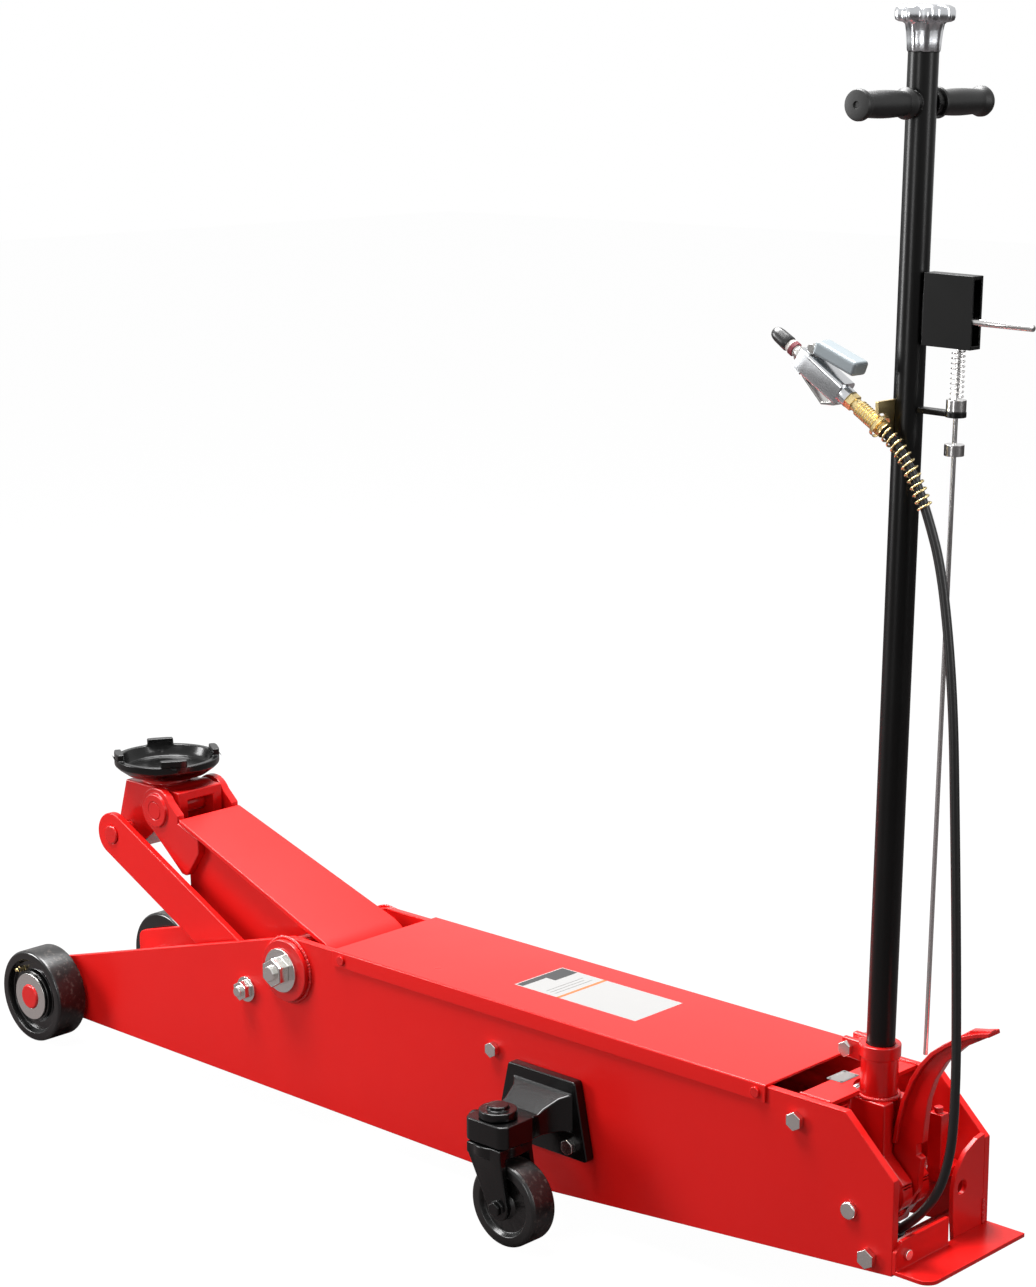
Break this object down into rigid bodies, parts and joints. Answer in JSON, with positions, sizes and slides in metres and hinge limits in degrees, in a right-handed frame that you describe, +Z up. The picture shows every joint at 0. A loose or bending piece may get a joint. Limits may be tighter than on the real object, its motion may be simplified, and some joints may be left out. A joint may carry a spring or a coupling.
{
  "type": "air-over-hydraulic floor jack",
  "caption": "Long-chassis floor jack with parallelogram lift arm, round saddle, swivel outrigger casters, pump handle, foot lever and air hose with valve.",
  "frame": {"origin": "on the floor, under the middle of the jack's overall length and width", "axes": "+Z up, saddle end towards -X, handle end towards +X, air valve towards -Y"},
  "size_m": [1.594, 0.426, 1.4101],
  "materials": {
    "black_paint": "gloss black enamel on steel tube",
    "bright_rod": "drawn bright steel rod",
    "cast_alloy": "tumbled cast aluminium",
    "cast_black": "black enamel over sand castings",
    "frosted_plastic": "frosted pale plastic",
    "grip_rubber": "black moulded rubber",
    "hose_rubber": "black rubber air hose",
    "machined": "turned steel",
    "plate_white": "printed aluminium plate",
    "red_casting": "red enamel over castings and forgings",
    "red_paint": "sprayed gloss red enamel on steel plate",
    "wheel_black": "black cast iron wheel, worn grey tread",
    "wheel_plastic": "moulded black nylon",
    "yellow_zinc": "yellow chromate plated steel",
    "zinc": "bright zinc plated steel"
  },
  "bodies": {
    "chassis": {"air_hose": "hose_rubber", "air_motor": "cast_alloy", "axle_washers": "zinc", "caster_bracket_far": "cast_black", "caster_bracket_near": "cast_black", "chassis_bolts": "zinc", "cover": "red_paint", "foot_plate": "red_paint", "front_axle": "red_casting", "hose_elbow": "cast_black", "pivot_bolts": "zinc", "pivot_bosses": "red_casting", "pivot_shafts": "machined", "pivot_washers": "zinc", "power_block": "red_casting", "ram_cylinder": "machined", "rear_bracket": "red_paint", "rear_strip": "red_paint", "reservoir": "red_casting", "side_plate_far": "red_paint", "side_plate_near": "red_paint", "spec_plate": "plate_white", "valve_block": "red_casting", "yoke_pin": "zinc"},
    "lift_arm": {"arm_side_plates": "red_paint", "arm_top_plate": "red_paint", "arm_hub": "red_casting", "arm_ears": "red_casting", "tip_pin": "red_casting", "crank_roller": "machined"},
    "lift_head": {"lift_head": "red_casting"},
    "saddle": {"saddle": "cast_black"},
    "front_links": {"front_links": "red_paint", "link_pin": "red_casting"},
    "front_wheel_near": {"front_wheel_near": "wheel_black"},
    "front_wheel_far": {"front_wheel_far": "wheel_black"},
    "caster_fork_near": {"caster_fork_near": "cast_black"},
    "caster_fork_far": {"caster_fork_far": "cast_black"},
    "caster_wheel_near": {"caster_wheel_near": "wheel_plastic"},
    "caster_wheel_far": {"caster_wheel_far": "wheel_plastic"},
    "ram": {"ram_rod": "machined"},
    "pump_plunger": {"pump_plunger": "machined"},
    "handle": {"yoke": "red_casting", "handle_socket": "red_casting", "clamp_bolt": "zinc", "handle_tube": "black_paint", "t_bar": "black_paint", "grips": "grip_rubber", "lever_box": "black_paint", "latch_spring": "bright_rod", "dust_cap": "grip_rubber", "valve_fittings": "yellow_zinc", "valve_body": "cast_alloy", "hose_guard": "yellow_zinc", "hose_clip": "yellow_zinc"},
    "foot_lever": {"foot_lever": "red_casting"},
    "release_knob": {"release_knob": "cast_alloy"},
    "hand_lever": {"hand_lever": "bright_rod"},
    "latch_rod": {"latch_rod": "bright_rod"},
    "valve_trigger": {"valve_trigger": "frosted_plastic"}
  },
  "joints": [
    {"name": "arm_lift", "type": "hinge", "parent": "chassis", "child": "lift_arm", "pos_m": [-0.25, 0, 0.203], "axis": [0, 1, 0], "range_deg": [-43, 36]},
    {"name": "link_swing", "type": "hinge", "parent": "chassis", "child": "front_links", "pos_m": [-0.329, 0, 0.157], "axis": [0, 1, 0], "range_deg": [-43, 36]},
    {"name": "head_level", "type": "hinge", "parent": "lift_arm", "child": "lift_head", "pos_m": [-0.55, 0, 0.352], "axis": [0, 1, 0], "range_deg": [-36, 43]},
    {"name": "saddle_spin", "type": "hinge", "parent": "lift_head", "child": "saddle", "pos_m": [-0.59, 0, 0.386], "axis": [0, 0, 1], "continuous": true},
    {"name": "ram_stroke", "type": "slide", "parent": "chassis", "child": "ram", "axis": [1, 0, 0], "range_m": [-0.0516, 0.0616]},
    {"name": "front_wheel_near_spin", "type": "hinge", "parent": "chassis", "child": "front_wheel_near", "pos_m": [-0.732, -0.119, 0.065], "axis": [0, 1, 0], "continuous": true},
    {"name": "front_wheel_far_spin", "type": "hinge", "parent": "chassis", "child": "front_wheel_far", "pos_m": [-0.732, 0.119, 0.065], "axis": [0, 1, 0], "continuous": true},
    {"name": "caster_near_swivel", "type": "hinge", "parent": "chassis", "child": "caster_fork_near", "pos_m": [0.215, -0.178, 0.121], "axis": [0, 0, 1], "continuous": true},
    {"name": "caster_far_swivel", "type": "hinge", "parent": "chassis", "child": "caster_fork_far", "pos_m": [0.215, 0.178, 0.121], "axis": [0, 0, 1], "continuous": true},
    {"name": "caster_near_roll", "type": "hinge", "parent": "caster_fork_near", "child": "caster_wheel_near", "pos_m": [0.239, -0.178, 0.051], "axis": [0, 1, 0], "continuous": true},
    {"name": "caster_far_roll", "type": "hinge", "parent": "caster_fork_far", "child": "caster_wheel_far", "pos_m": [0.239, 0.178, 0.051], "axis": [0, 1, 0], "continuous": true},
    {"name": "handle_pump", "type": "hinge", "parent": "chassis", "child": "handle", "pos_m": [0.66, 0, 0.136], "axis": [0, 1, 0], "range_deg": [0, 50], "deforming": ["air_hose"]},
    {"name": "plunger_stroke", "type": "slide", "parent": "chassis", "child": "pump_plunger", "axis": [1, 0, 0], "range_m": [-0.0245, 0]},
    {"name": "foot_pump", "type": "hinge", "parent": "handle", "child": "foot_lever", "pos_m": [0.66, 0, 0.136], "axis": [0, 1, 0], "range_deg": [0, 20], "stiffness_Nm_per_rad": 25, "springref_deg": -8.59},
    {"name": "release_turn", "type": "hinge", "parent": "handle", "child": "release_knob", "pos_m": [0.65362, 0, 1.38974], "axis": [0.0209, 0, 0.9998], "range_deg": [0, 180]},
    {"name": "hand_lever_pull", "type": "hinge", "parent": "handle", "child": "hand_lever", "pos_m": [0.67746, 0, 1.09518], "axis": [0, -1, 0], "range_deg": [0, 14], "stiffness_Nm_per_rad": 1.5, "springref_deg": -11.46},
    {"name": "latch_rod_lift", "type": "slide", "parent": "handle", "child": "latch_rod", "axis": [0.0209, 0, 0.9998], "range_m": [0, 0.0074], "deforming": ["latch_spring"]},
    {"name": "trigger_press", "type": "hinge", "parent": "handle", "child": "valve_trigger", "pos_m": [0.55379, -0.038, 1.05944], "axis": [0, 1, 0], "range_deg": [0, 8], "stiffness_Nm_per_rad": 2, "springref_deg": -5.73}
  ],
  "couplings": [
    {"joint": "link_swing", "follows": "arm_lift", "ratio": 1},
    {"joint": "head_level", "follows": "arm_lift", "ratio": -1},
    {"joint": "ram_stroke", "follows": "arm_lift", "m_per_rad": -0.082},
    {"joint": "plunger_stroke", "follows": "handle_pump", "m_per_rad": -0.028},
    {"joint": "latch_rod_lift", "follows": "hand_lever_pull", "m_per_rad": 0.03}
  ]
}
